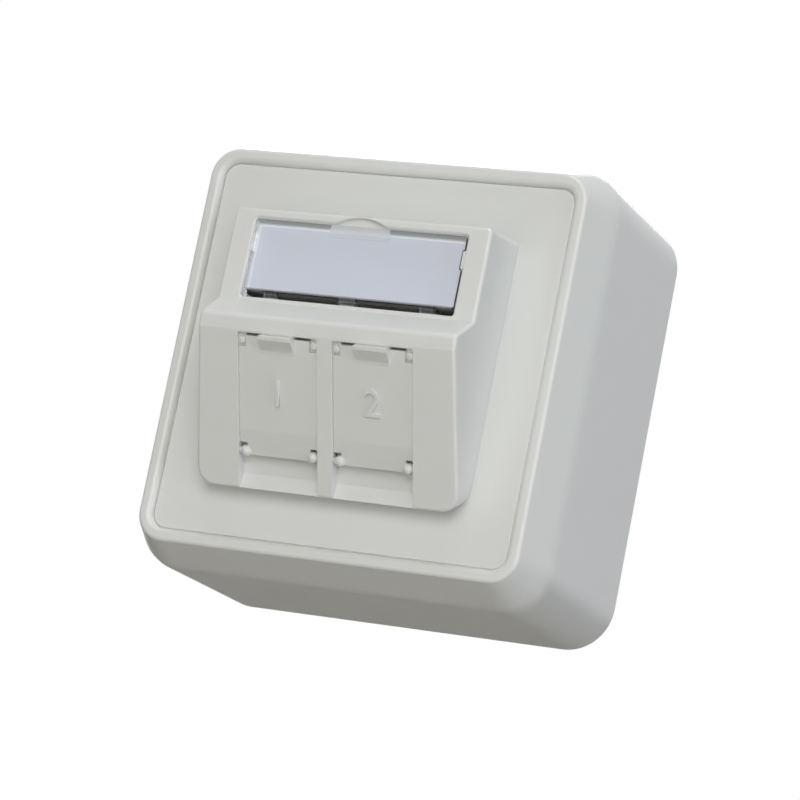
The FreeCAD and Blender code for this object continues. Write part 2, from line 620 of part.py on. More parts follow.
def make_base_plate():
    body = new_body("base_plate")
    wide = INNER_WIDTH - g.fit_gap * 2
    radius = g.corner_radius - g.wall - g.fit_gap
    outline = Drawing(body, "base_outline").rounded(0, 0, wide, wide, radius)
    pad(body, "base_sheet", outline, g.base_thick)
    lip = Drawing(body, "base_lip_outline", off=g.base_thick).rounded(0, 0, wide - 0.6, wide - 0.6, radius)
    lip.rounded(0, 0, wide - 3.0, wide - 3.0, radius - 1.2)
    pad(body, "base_lip", lip, g.base_lip_rise)
    half = wide / 2
    arm_back, barb_back = g.base_thick, g.snap_back + g.snap_tall + 0.3
    arm_front = barb_back + 2.3
    arm = Drawing(body, "arm_outline", plane="XY_Plane")
    arm_in, arm_out, barb = half - 2.3, half - 0.9, half + 0.1
    arm.polygon([(arm_in, -arm_back + 0.4), (arm_out, -arm_back + 0.4), (arm_out, -barb_back),
                 (barb, -barb_back), (barb, -barb_back - 0.7), (arm_out, -arm_front), (arm_in, -arm_front)])
    arm_pad = pad(body, "clip_arm", arm, 9.0, mid=True)
    mirror(body, "clip_arms", [arm_pad])
    post = Drawing(body, "post_outline", off=g.base_thick - 0.4)
    for x in (-1, 1):
        for z in (-1, 1):
            post.circle(g.post_x * x, POST_Z * z, g.post_radius)
    post_top = FLANGE_FRONT - g.sheet
    pad(body, "screw_posts", post, post_top - g.base_thick + 0.4, taper=-0.6)
    drill = Drawing(body, "post_hole_outline", off=post_top)
    for x in (-1, 1):
        for z in (-1, 1):
            drill.circle(g.post_x * x, POST_Z * z, g.screw_radius + g.screw_fit)
    cut(body, "post_holes", drill, g.post_hole_deep)
    for x in (-1, 1):
        web = Drawing(body, "post_web_%s" % ("left" if x < 0 else "right"), off=g.base_thick - 0.4)
        web.box(g.post_x * x, POST_Z, g.web_thick, g.web_long)
        web.box(g.post_x * x, -POST_Z, g.web_thick, g.web_long)
        pad(body, "post_webs_%s" % ("left" if x < 0 else "right"), web, g.web_rise)
    slots = Drawing(body, "wall_slot_outline", off=g.base_thick)
    for x in (-1, 1):
        slots.slot(WALL_HOLE * x, 0, g.wall_slot_long, g.wall_slot_wide)
    cut(body, "wall_slots", slots, g.base_thick + 0.5)
    upright = Drawing(body, "upright_slot_outline", off=g.base_thick)
    for z in (-1, 1):
        upright.slot(0, WALL_HOLE * z, g.wall_slot_long, g.wall_slot_wide, upright=True)
    cut(body, "upright_slots", upright, g.base_thick + 0.5)
    cable = Drawing(body, "cable_outline", off=g.base_thick).rounded(0, 2.0, g.cable_wide, g.cable_tall, 4.0)
    cut(body, "cable_opening", cable, g.base_thick + 0.5)
    collar = Drawing(body, "collar_outline", off=g.base_thick - 0.4)
    collar.rounded(0, 2.0, g.cable_wide + 3.0, g.cable_tall + 3.0, 5.5)
    collar.rounded(0, 2.0, g.cable_wide, g.cable_tall, 4.0)
    pad(body, "cable_collar", collar, 2.0)
    foot = Drawing(body, "clamp_post_outline", off=g.base_thick - 0.4)
    for x in (-1, 1):
        foot.circle(g.clamp_x * x, CLAMP_Z, g.clamp_radius)
    pad(body, "clamp_posts", foot, g.clamp_rise - g.base_thick + 0.4)
    bore = Drawing(body, "clamp_hole_outline", off=g.clamp_rise)
    for x in (-1, 1):
        bore.circle(g.clamp_x * x, CLAMP_Z, g.screw_radius + g.screw_fit)
    cut(body, "clamp_holes", bore, 6.5)
    saddle = Drawing(body, "saddle_outline", off=g.base_thick - 0.4).box(0, CLAMP_Z, 12.0, 2.0)
    pad(body, "cable_saddle", saddle, 2.4)
    return body


def hood_profile(drawing):
    bottom_front, bottom_height = port_point(g.port_face, as_size(0.0))
    root = PLATE_FRONT - g.plate_thick / 2
    reach = (bottom_front - root) / SLOPE_DOWN
    return drawing.polygon([
        (-root, g.hood_top),
        (-LABEL_FRONT, g.hood_top - g.hood_top_lean),
        (-LABEL_FRONT, g.label_low),
        (-RIDGE_FRONT, g.ridge_high),
        (-PORT_FRONT, g.ridge_low),
        (-bottom_front, bottom_height),
        (-root, bottom_height + reach * SLOPE_BACK)])


def make_cover_plate():
    body = new_body("cover_plate")
    back = PLATE_FRONT - g.plate_thick
    outline = Drawing(body, "plate_outline", off=back)
    outline.rounded(0, 0, PLATE_WIDTH, PLATE_WIDTH, g.plate_radius)
    pad(body, "plate", outline, g.plate_thick)
    rim = lambda e: at_front(e, PLATE_FRONT)
    fillet(body, "plate_edge_round", rim, g.plate_edge)
    profile = hood_profile(Drawing(body, "hood_profile", plane="YZ_Plane"))
    pad(body, "hood_block", profile, g.hood_width, mid=True)
    # the side walls lean in towards the front
    lean = tan(g.hood_draft)
    out = LABEL_FRONT + 10.0
    wedge = Drawing(body, "hood_lean_outline", plane="XY_Plane")
    half = g.hood_width / 2
    wedge.polygon([(half, -PLATE_FRONT), (half - (out - PLATE_FRONT) * lean, -out), (half + 3.0, -out),
                   (half + 3.0, -PLATE_FRONT)])
    right_lean = cut(body, "hood_lean", wedge, g.outer_width, mid=True)
    mirror(body, "hood_leans", [right_lean])
    low_front, low_height = port_point(g.port_face, as_size(0.0))

    def lower_corner(e):
        box = e.BoundBox
        beside = min(abs(box.XMax), abs(box.XMin)) > half.value - 2.0 and box.XLength < 1.0
        return (beside and box.YLength > 1.0 and near(box.ZMin, low_height, 0.05)
                and near(box.YMin, -low_front, 0.05))

    fillet(body, "lower_corners", lower_corner, g.hood_corner)

    def upper_corner(e):
        box = e.BoundBox
        return box.XLength < 1.0 and box.YLength > 5.0 and box.ZLength < 1.5 and near(box.ZMax, g.hood_top, 0.1)

    def level_edge(height):
        def test(e):
            box = e.BoundBox
            return box.XLength > 5.0 and near(box.ZMin, height, 0.02) and near(box.ZMax, height, 0.02)
        return test

    fillet(body, "upper_corners", upper_corner, g.hood_top_corner)
    fillet(body, "ridge_edge", level_edge(g.ridge_high), g.ridge_round)
    fillet(body, "crease_edge", level_edge(g.ridge_low), g.crease_round)

    def front_edge(e):
        box = e.BoundBox
        if box.YMin > -PLATE_FRONT.value - 0.3 or box.ZMin < low_height.value - 0.1:
            return False
        across = box.XLength > 5.0 and box.ZMin > low_height.value + 1.0 and box.ZMax < g.label_low.value + 0.1
        depthwise = box.YLength > 5.0 and box.ZLength < 2.5
        root = near(box.YMax, -PLATE_FRONT, 0.05) and box.YLength < 4.5
        return not (across or depthwise or root)

    fillet(body, "hood_edges", front_edge, g.hood_edge)
    hollow_width = g.hood_width - g.skin * 2 - 1.4
    ceiling = LABEL_FLOOR - 1.4
    slot_roof = LABEL_FRONT - g.gap_deep - 1.4
    top_in, top_out = g.hood_top - g.skin, g.hood_top - g.hood_top_lean - g.skin
    ridge_in_front, ridge_in_high = port_point(as_size(0.4), g.port_skin)
    low_in_front, low_in_high = port_point(g.port_face - 2.6, g.port_skin)
    mouth = back - 0.5
    inner = Drawing(body, "hollow_outline", plane="YZ_Plane")
    inner.polygon([
        (-mouth, top_in), (-ceiling, top_out), (-ceiling, g.label_bottom + g.gap_tall + 1.6),
        (-slot_roof, g.label_bottom + g.gap_tall + 1.2), (-slot_roof, g.label_low - 1.3),
        (-ridge_in_front, ridge_in_high), (-low_in_front, low_in_high),
        (-mouth, low_in_high + (low_in_front - mouth) / SLOPE_DOWN * SLOPE_BACK)])
    cut(body, "hood_hollow", inner, hollow_width, mid=True)
    bosses = Drawing(body, "boss_outline", off=FLANGE_FRONT + 0.2)
    for side in (-1, 1):
        bosses.circle(g.cover_screw_x * side, g.cover_screw_z, g.head_radius + 1.3)
    pad(body, "screw_bosses", bosses, ceiling - FLANGE_FRONT + 0.1)
    stiff = LEDGE_WIDTH - g.fit_gap * 2
    edge_rib = Drawing(body, "back_rib_outline", off=back - 1.3).rounded(0, 0, stiff, stiff, 2.4)
    edge_rib.rounded(0, 0, stiff - 2.4, stiff - 2.4, 1.4)
    pad(body, "back_rib", edge_rib, 1.5)
    centre_x = g.port_pitch / 2
    window_half = g.flap_width / 2 + g.flap_gap
    ear_half = window_half - g.ear_width
    window = Drawing(body, "window_outline").on_port_face()
    window.polygon([
        (centre_x - ear_half, -g.window_top), (centre_x - ear_half, -g.ear_down),
        (centre_x - window_half, -g.ear_down), (centre_x - window_half, -(g.flap_low + 0.4)),
        (centre_x + window_half, -(g.flap_low + 0.4)), (centre_x + window_half, -g.ear_down),
        (centre_x + ear_half, -g.ear_down), (centre_x + ear_half, -g.window_top)])
    right_window = cut(body, "flap_window", window, g.window_depth)
    opening = Drawing(body, "port_outline").on_port_face()
    opening.rounded(centre_x, -g.port_centre, g.port_open_wide, g.port_open_tall, 0.8)
    right_port = cut(body, "port_opening", opening, g.port_skin + 1.5)
    gap = Drawing(body, "lip_slot_outline").on_port_face()
    gap.box(centre_x, -(g.window_top + g.slot_down) / 2, ear_half * 2, g.slot_down - g.window_top)
    right_gap = cut(body, "lip_slot", gap, g.port_skin + 1.0)
    crease_front, crease_high = port_point(g.trough_crease, g.trough_deep)
    start_front, start_high = port_point(g.flap_low, g.trough_deep + 0.3)
    upper_front, upper_high = port_point(g.flap_low, as_size(-1.5))
    end_front, end_high = port_point(g.port_face, as_size(0.1))
    past_front, past_high = port_point(g.port_face + 1.0, as_size(-1.5))
    trough = Drawing(body, "trough_outline", plane="YZ_Plane", off=centre_x)
    trough.polygon([(-upper_front, upper_high), (-start_front, start_high), (-crease_front, crease_high),
                    (-end_front, end_high), (-past_front, past_high)])
    right_trough = cut(body, "trough", trough, window_half * 2, mid=True)
    pivot_front, pivot_high = port_point(g.pivot_down, g.pivot_deep)
    pins = Drawing(body, "pin_hole_outline", plane="YZ_Plane", off=centre_x)
    pins.circle(-pivot_front, pivot_high, g.pin_radius + g.pin_gap)
    right_pins = cut(body, "pin_holes", pins, window_half * 2 + g.pin_reach * 2 + 0.3, mid=True)
    ears = Drawing(body, "ear_outline").on_port_face()
    ears.box(centre_x, -(g.window_top + g.ear_down) / 2, window_half * 2, g.ear_down - g.window_top)
    right_ears = cut(body, "ear_pockets", ears, g.ear_sunk)
    stops = Drawing(body, "ear_stop_outline").on_port_face(g.ear_sunk + 0.05)
    for side in (-1, 1):
        stops.rounded(centre_x + (ear_half + g.ear_width / 2) * side, g.ear_bump_tall / 2 - g.ear_down + 0.25,
                      g.ear_width - 0.12, g.ear_bump_tall, 0.55)
    right_stops = pad(body, "ear_stops", stops, g.ear_bump_out + 0.05)
    mirror(body, "left_port_side",
           [right_window, right_port, right_gap, right_trough, right_pins, right_ears, right_stops])

    def stop_rim(e):
        # every corner of the edge lies in the front face of the stops
        deep = [(PORT_FRONT.value + v.Y) * SLOPE_DOWN.value - (g.ridge_low.value - v.Z) * SLOPE_BACK.value
                for v in e.Vertexes]
        return all(near(d, g.ear_sunk - g.ear_bump_out) for d in deep) and e.Length < 3.0

    fillet(body, "ear_stop_round", stop_rim, 0.45)
    recess = Drawing(body, "label_outline", off=LABEL_FRONT)
    recess.rounded(0, g.label_bottom + g.label_tall / 2, g.label_wide, g.label_tall, 0.5)
    cut(body, "label_recess", recess, g.label_deep)
    nail = Drawing(body, "nail_outline", off=LABEL_FRONT)
    nail.cap_segment(LABEL_TOP - 0.2, g.nail_half, g.nail_rise + 0.2)
    cut(body, "nail_recess", nail, g.nail_deep)
    sill = lambda e: at_front(e, LABEL_FRONT) and near(e.BoundBox.ZMax, g.label_bottom)
    chamfer(body, "sill_edge_cut", sill, g.sill_edge)
    slit = Drawing(body, "slit_outline", off=LABEL_FRONT)
    inner_end = g.label_wide / 2 - 0.4
    gap_low, slit_low = g.label_bottom + 0.05, g.label_bottom + g.slit_up
    half_slit = inner_end - g.pocket_wide
    gap_high, slit_high = gap_low + g.gap_tall, slit_low + g.slit_tall
    slit.polygon([(-inner_end, gap_low), (-half_slit, gap_low), (-half_slit, slit_low), (half_slit, slit_low),
                  (half_slit, gap_low), (inner_end, gap_low), (inner_end, gap_high), (half_slit, gap_high),
                  (half_slit, slit_high), (-half_slit, slit_high), (-half_slit, gap_high), (-inner_end, gap_high)])
    cut(body, "label_slit", slit, g.gap_deep)
    guide = Drawing(body, "guide_outline", off=LABEL_FLOOR - 0.1)
    guide.box(g.label_wide / 2 - g.guide_out / 2 + 0.1, g.guide_high, g.guide_out + 0.2, g.guide_tall)
    guide_rib = pad(body, "label_guide", guide, g.label_deep - 0.05)
    mirror(body, "label_guides", [guide_rib])
    heads = Drawing(body, "head_outline", off=LABEL_FLOOR)
    holes = Drawing(body, "cover_hole_outline", off=LABEL_FLOOR)
    for side in (-1, 1):
        heads.circle(g.cover_screw_x * side, g.cover_screw_z, g.head_radius + 0.3)
        holes.circle(g.cover_screw_x * side, g.cover_screw_z, g.screw_radius + 0.15)
    cut(body, "head_seats", heads, g.head_tall + 0.1)
    cut(body, "cover_holes", holes, LABEL_FLOOR - FLANGE_FRONT)
    return body


def flap(name, side):
    # built round its pivot: the port face lies pivot_deep in front of the pivot axis
    body = new_body(name)
    out = g.pivot_deep - g.flap_sunk
    inside = out - g.flap_thick
    top = g.pivot_down - g.window_top - 0.1
    low = g.pivot_down - g.flap_low
    band = g.pivot_down - g.band_down
    slot_low = g.pivot_down - g.slot_down
    leaf = Drawing(body, name + "_leaf", plane="YZ_Plane")
    leaf.polygon([(-out, slot_low), (-out, band), (-out + 0.45, low), (-inside, low), (-inside, slot_low)])
    pad(body, name + "_plate", leaf, g.flap_width, mid=True)
    lip = Drawing(body, name + "_lip_side", plane="YZ_Plane")
    lip_end = top - g.lip_tall - g.lip_blend
    lip.polygon([(-inside, top), (-out - g.lip_out, top), (-out - g.lip_out, top - 0.7),
                 (-out - g.lip_out * 0.27, top - g.lip_tall),
                 (-out - g.lip_out * 0.09, top - g.lip_tall - g.lip_blend * 0.42),
                 (-out, lip_end), (-out + 0.4, lip_end - 0.3),
                 (-inside, slot_low - 0.6)])
    pad(body, name + "_finger_lip", lip, g.lip_width, mid=True)
    half = g.flap_width / 2
    ear = half - g.ear_width
    ear_low = g.pivot_down - g.ear_down - 0.1
    notch = Drawing(body, name + "_notches")
    neck_high = g.pivot_down - g.neck_down
    for s in (-1, 1):
        outside, neck = (half + 1) * s, g.neck_width / 2 * s
        notch.polygon([(ear * s, ear_low), (outside, ear_low), (outside, top + 1), (ear * s, top + 1)])
        notch.polygon([(neck, low - 1), (outside, low - 1), (outside, neck_high), (neck, neck_high)])
    cut(body, name + "_corner_notches", notch, 10.0, mid=True)

    def side_edge(e):
        box = e.BoundBox
        return (near(box.YMin, -out) and near(box.YMax, -out) and box.ZLength > 5
                and near(abs(box.XMin), half) and near(abs(box.XMax), half))

    fillet(body, name + "_leaf_round", side_edge, 0.2)
    knob = Drawing(body, name + "_knob_outline", plane="XY_Plane").half_disc(half - g.knob_radius, g.knob_radius)
    knob_ball = spin(body, "Revolution", name + "_knob", knob, "H_Axis")
    pin = Drawing(body, name + "_pin_outline", plane="YZ_Plane", off=half - 0.4)
    pin.circle(0, 0, g.pin_radius)
    pin_pad = pad(body, name + "_pin", pin, g.pin_reach + 0.35)
    mirror(body, name + "_pivots", [knob_ball, pin_pad])
    seal = Drawing(body, name + "_seal_outline", off=inside - 0.6)
    seal_mid = g.pivot_down - g.port_centre
    seal.rounded(0, seal_mid, 11.4, 11.0, 1.0)
    seal.rounded(0, seal_mid, 10.0, 9.6, 0.5)
    pad(body, name + "_seal_ring", seal, 0.7)
    front, height = port_point(g.pivot_down, g.pivot_deep)
    place(body, g.port_pitch / 2 * side, front, height, tilt=True)
    return body


def make_flaps():
    flap("flap_left", -1)
    flap("flap_right", 1)


def make_label_cover():
    # clear plate that tips out round its lower hooks
    body = new_body("label_cover")
    front = LABEL_FRONT - g.clear_sunk
    low = g.label_bottom + g.gap_tall + 0.05
    tall = LABEL_TOP - 0.25 - low
    plate = Drawing(body, "clear_outline", off=front - g.clear_thick)
    plate.rounded(0, low + tall / 2, g.label_wide - 0.5, tall, 0.5)
    pad(body, "clear_plate", plate, g.clear_thick)
    tab = Drawing(body, "tab_outline", off=front - 0.3)
    tab.rounded(0, LABEL_TOP - 1.4, 11.2, 2.2, 0.4)
    pad(body, "nail_tab", tab, 0.5)
    notch = Drawing(body, "guide_notch_outline", off=front)
    for side in (-1, 1):
        notch.box(g.label_wide / 2 * side, g.guide_high, g.guide_out * 2 + 0.4, g.guide_tall + 0.5)
    cut(body, "guide_notches", notch, g.clear_thick + 0.5)
    tail = LABEL_FLOOR + 0.1
    hook_low, hook_high = g.label_bottom + 0.3, g.label_bottom + 0.9
    inner_side = g.label_wide / 2 - g.hook_inset - g.hook_wide
    for word, start, wide, sunk in (("middle", -g.middle_hook / 2, g.middle_hook, 0.3),
                                    ("outer", inner_side, g.hook_wide, 0.6)):
        hook = Drawing(body, word + "_hook_outline", plane="YZ_Plane", off=start)
        inside, outside = g.clear_thick - front, as_size(sunk) - front
        hook.polygon([(outside, low + 0.3), (outside, hook_low), (-tail, hook_low), (-tail, hook_high),
                      (inside, hook_high + 0.1), (inside, low + 0.3)])
        one = pad(body, word + "_hook", hook, wide)
    mirror(body, "outer_hooks", [one])
    return body


def make_label_card():
    body = new_body("label_card")
    low = g.label_bottom + g.gap_tall + g.card_gap_low
    tall = LABEL_TOP - g.card_gap_high - low
    card = Drawing(body, "card_outline", off=LABEL_FLOOR + 0.03)
    card.rounded(0, low + tall / 2, g.label_wide - g.card_gap_side * 2, tall, 0.3)
    pad(body, "card", card, g.card_thick)
    return body


def make_module_carrier():
    body = new_body("module_carrier")
    front, back = FLANGE_FRONT, FLANGE_FRONT - g.sheet
    flange_tall = POST_Z + 4.5
    start_front, start_high = port_point(as_size(0.8), g.carrier_deep)
    start_in_front, start_in_high = port_point(g.sheet + 0.8, g.carrier_deep + g.sheet)
    low_high = start_high - (start_front - front) / SLOPE_BACK * SLOPE_DOWN
    bend_high = as_size(9.6)
    top = Drawing(body, "flange_side", plane="YZ_Plane")
    top.polygon([(-front, flange_tall), (-back, flange_tall), (-back, bend_high + 0.6), (-front, bend_high)])
    pad(body, "top_flange", top, FLANGE_WIDTH, mid=True)
    bent = Drawing(body, "bent_sheet_side", plane="YZ_Plane")
    inner_reach = (start_in_front - back) / SLOPE_BACK
    inner_high = start_in_high - inner_reach * SLOPE_DOWN
    bent.polygon([(-front, bend_high), (-start_front, start_high), (-front, low_high),
                  (-front, low_high - 1.5), (-back, low_high - 1.5), (-back, inner_high),
                  (-start_in_front, start_in_high), (-back, bend_high - 0.7),
                  (-back, bend_high + 1.5), (-front, bend_high + 1.5)])
    pad(body, "bent_sheet", bent, g.carrier_wide, mid=True)
    bottom = Drawing(body, "low_flange_side", plane="YZ_Plane")
    bottom.polygon([(-front, low_high - 1.0), (-back, low_high - 1.0),
                    (-back, -flange_tall), (-front, -flange_tall)])
    pad(body, "low_flange", bottom, FLANGE_WIDTH, mid=True)
    windows = Drawing(body, "jack_window_outline").on_port_face(g.carrier_deep - 2.0)
    for side in (-1, 1):
        windows.box(g.port_pitch / 2 * side, -g.port_centre, g.jack_wide + g.shield_thick * 2 + 0.5,
                    g.jack_tall + g.shield_thick * 2 + 0.5)
    cut(body, "jack_windows", windows, 6.0)
    drill = Drawing(body, "flange_hole_outline", off=front)
    for side in (-1, 1):
        drill.circle(g.post_x * side, POST_Z, g.screw_radius + 0.2)
        drill.circle(g.post_x * side, -POST_Z, g.screw_radius + 0.2)
        drill.circle(g.cover_screw_x * side, g.cover_screw_z, g.screw_radius + g.screw_fit)
    drill.circle(0, EARTH_Z, g.screw_radius + g.screw_fit)
    cut(body, "flange_holes", drill, g.sheet + 1.0)

    def flange_corner(e):
        box = e.BoundBox
        across = box.YLength > 1.0 and box.XLength < 0.01 and box.ZLength < 0.01
        return across and near(abs(box.XMin), FLANGE_WIDTH / 2)

    fillet(body, "flange_corners", flange_corner, 1.5)
    return body


def screws(name, x, heights, head_front, length):
    # turned machine screws with a cross recess, alone, in a pair or in a grid of two by two
    body = new_body(name)
    body.AllowCompound = True
    x, length = as_size(x), as_size(length)
    end = g.head_tall + length
    turned = Drawing(body, name + "_profile", plane="XY_Plane")
    turned.polygon([(0.0, 0.0), (g.head_radius - 0.5, 0.0), (g.head_radius, as_size(0.5)),
                    (g.head_radius, g.head_tall), (g.screw_radius, g.head_tall),
                    (g.screw_radius, end - 0.4), (g.screw_radius - 0.4, end), (0.0, end)])
    blank = spin(body, "Revolution", name + "_turned", turned, "V_Axis")
    long, thin = 1.5, 0.3
    cross = Drawing(body, name + "_cross_outline")
    cross.polygon([(thin, thin), (thin, long), (-thin, long), (-thin, thin), (-long, thin), (-long, -thin),
                   (-thin, -thin), (-thin, -long), (thin, -long), (thin, -thin), (long, -thin), (long, thin)])
    recess = cut(body, name + "_cross", cross, 0.9)
    if x.value:
        grid = ("Z_Axis", heights[1] - heights[0]) if len(heights) == 2 else ()
        repeat(body, name + "_spread", [blank, recess], "X_Axis", x * 2, 2, *grid)
    place(body, -x, head_front, heights[0])
    return body


def make_fixings():
    seat_gap = 0.02
    cover_head = LABEL_FLOOR - 0.05
    reach = cover_head - g.head_tall - FLANGE_FRONT + 3.0
    screws("cover_screws", g.cover_screw_x, [g.cover_screw_z], cover_head, reach)
    carrier_head = FLANGE_FRONT + g.head_tall + seat_gap
    screws("carrier_screws", g.post_x, [-POST_Z, POST_Z], carrier_head, g.carrier_screw_long)
    clamp_head = g.clamp_rise + g.clamp_bar + g.head_tall + seat_gap
    screws("clamp_screws", g.clamp_x, [CLAMP_Z], clamp_head, g.clamp_screw_long)
    earth_head = FLANGE_FRONT + g.tab_thick + g.head_tall + seat_gap * 2
    screws("earth_screw", as_size(0.0), [EARTH_Z], earth_head, g.earth_screw_long)


def make_earth_terminal():
    # bent tab under the earth screw, with its spade end towards the wall
    body = new_body("earth_terminal")
    front = FLANGE_FRONT + g.tab_thick + 0.02
    low = EARTH_Z - g.tab_down
    tab = Drawing(body, "tab_side_outline", plane="YZ_Plane")
    tab.polygon([(-front, EARTH_Z + g.tab_up), (-front, low), (g.tab_back - front, low),
                 (g.tab_back - front, low + g.tab_thick), (g.tab_thick - front, low + g.tab_thick),
                 (g.tab_thick - front, EARTH_Z + g.tab_up)])
    pad(body, "earth_tab", tab, g.tab_wide, mid=True)
    hole = Drawing(body, "tab_hole_outline", off=front).circle(0, EARTH_Z, g.screw_radius + 0.2)
    cut(body, "earth_tab_hole", hole, g.tab_thick + 0.7)

    def bend(e):
        box = e.BoundBox
        return near(box.YMin, -front) and near(box.ZMax, low) and box.XLength > 5.0

    fillet(body, "earth_tab_bend", bend, 0.7)
    return body


def make_cable_clamp():
    body = new_body("cable_clamp")
    bar = Drawing(body, "clamp_outline", off=g.clamp_rise + 0.02)
    bar.slot(0, CLAMP_Z, g.clamp_x * 2 + g.clamp_wide, g.clamp_wide)
    pad(body, "clamp_bar", bar, g.clamp_bar - 0.02)
    bend = Drawing(body, "clamp_rib_outline", off=g.clamp_rise - 1.2)
    bend.box(0, CLAMP_Z - 1.6, 12.0, 1.0)
    bend.box(0, CLAMP_Z + 1.6, 12.0, 1.0)
    pad(body, "clamp_ribs", bend, 1.4)
    hole = Drawing(body, "clamp_bar_holes", off=g.clamp_rise + g.clamp_bar)
    for side in (-1, 1):
        hole.circle(g.clamp_x * side, CLAMP_Z, g.screw_radius + 0.2)
    cut(body, "clamp_bar_hole", hole, 4.0)
    return body


def jack_place(body, side):
    front, height = port_point(g.port_centre, g.port_skin + g.jack_back_off)
    place(body, g.port_pitch / 2 * side, front, height, tilt=True)


def jack_body(name, side):
    # built with its face at the origin, the plug opening towards -Y
    body = new_body(name)
    block = Drawing(body, name + "_outline").box(0, 0, g.jack_wide, g.jack_tall)
    pad(body, name + "_block", block, g.jack_long, reverse=True)
    mouth = Drawing(body, name + "_mouth")
    low = -g.plug_tall / 2
    half = g.plug_wide / 2
    mouth.polygon([(-half, -low), (-half, low), (-3.1, low), (-3.1, low - 1.5), (-1.7, low - 1.5),
                   (-1.7, low - 2.5), (1.7, low - 2.5), (1.7, low - 1.5), (3.1, low - 1.5), (3.1, low),
                   (half, low), (half, -low)])
    cut(body, name + "_plug_opening", mouth, g.plug_deep)

    def mouth_edge(e):
        box = e.BoundBox
        inside = box.XLength < g.plug_wide.value + 0.1 and box.ZLength < g.plug_tall.value + 0.1
        return at_front(e, 0.0) and inside

    chamfer(body, name + "_lead_in", mouth_edge, 0.35)
    seats = Drawing(body, name + "_blade_seats", off=-g.jack_long)
    for z in (-1, 1):
        for k in range(4):
            seats.box(g.blade_spacing * (k - 1.5), g.blade_row * z, g.blade_thick + 0.1, g.blade_tall + 0.2)
    cut(body, name + "_blade_holes", seats, 2.5, reverse=True)
    jack_place(body, side)
    return body


def jack_contacts(name, side):
    # eight bent spring wires under the plug opening's roof
    body = new_body(name)
    body.AllowCompound = True
    roof = g.plug_tall / 2 - 0.05
    start, back = g.contact_start, g.plug_deep - 0.05
    end = start + g.contact_reach
    side_off = -g.contact_spacing * 3.5 - g.contact_wide / 2
    wire = Drawing(body, name + "_side", plane="YZ_Plane", off=side_off)
    wire.polygon([(start, roof), (start + 1.0, roof - 0.5), (end, roof - g.contact_dip),
                  (end + 0.4, roof - g.contact_dip + 0.4), (start + 1.8, roof - 0.3), (back, roof - 0.3),
                  (back, roof)])
    one = pad(body, name + "_wire", wire, g.contact_wide)
    repeat(body, name + "_row", [one], "X_Axis", g.contact_spacing * 7, 8)
    jack_place(body, side)
    return body


def jack_shield(name, side):
    # folded sleeve with a collar that rests on the carrier
    body = new_body(name)
    inner_wide, inner_tall = g.jack_wide + g.shield_gap * 2, g.jack_tall + g.shield_gap * 2
    sleeve = Drawing(body, name + "_outline", off=-0.8)
    sleeve.box(0, 0, inner_wide + g.shield_thick * 2, inner_tall + g.shield_thick * 2)
    sleeve.box(0, 0, inner_wide, inner_tall)
    pad(body, name + "_sleeve", sleeve, g.jack_long - 2.0, reverse=True)
    seat = g.carrier_deep - g.port_skin - g.jack_back_off
    collar = Drawing(body, name + "_collar_outline", off=-seat + 0.05)
    collar.box(0, 0, g.port_pitch - 0.6, inner_tall + 2.4)
    collar.box(0, 0, inner_wide, inner_tall)
    pad(body, name + "_collar", collar, 0.8)
    spring = Drawing(body, name + "_spring_side", plane="XY_Plane")
    outer = inner_wide / 2 + g.shield_thick
    spring.polygon([(outer - 0.05, seat + g.sheet + 0.1), (outer + 0.5, seat + g.sheet + 0.1),
                    (outer - 0.05, seat + g.sheet + 2.6)])
    latch = pad(body, name + "_latch", spring, 4.0, mid=True)
    mirror(body, name + "_latches", [latch])
    jack_place(body, side)
    return body


def wire_terminals(name, side):
    # eight forked blades in two rows behind the jack
    body = new_body(name)
    body.AllowCompound = True
    start = g.jack_long - g.blade_sunk
    tip = start + g.blade_long
    low, high = g.blade_row - g.blade_tall / 2, g.blade_row + g.blade_tall / 2
    blades = []
    for word, up in (("upper", 1), ("lower", -1)):
        side_off = -g.blade_spacing * 1.5 - g.blade_thick / 2
        blade = Drawing(body, "%s_%s_outline" % (name, word), plane="YZ_Plane", off=side_off)
        edge = g.fork_edge
        blade.polygon([(start, low * up), (tip - edge, low * up), (tip, (low + edge) * up),
                       (tip - g.fork_deep, (low + edge * 2) * up), (tip - g.fork_deep, (high - edge * 2) * up),
                       (tip, (high - edge) * up), (tip - edge, high * up), (start, high * up)])
        blades.append(pad(body, "%s_%s_blade" % (name, word), blade, g.blade_thick))
    repeat(body, name + "_rows", blades, "X_Axis", g.blade_spacing * 3, 4)
    jack_place(body, side)
    return body


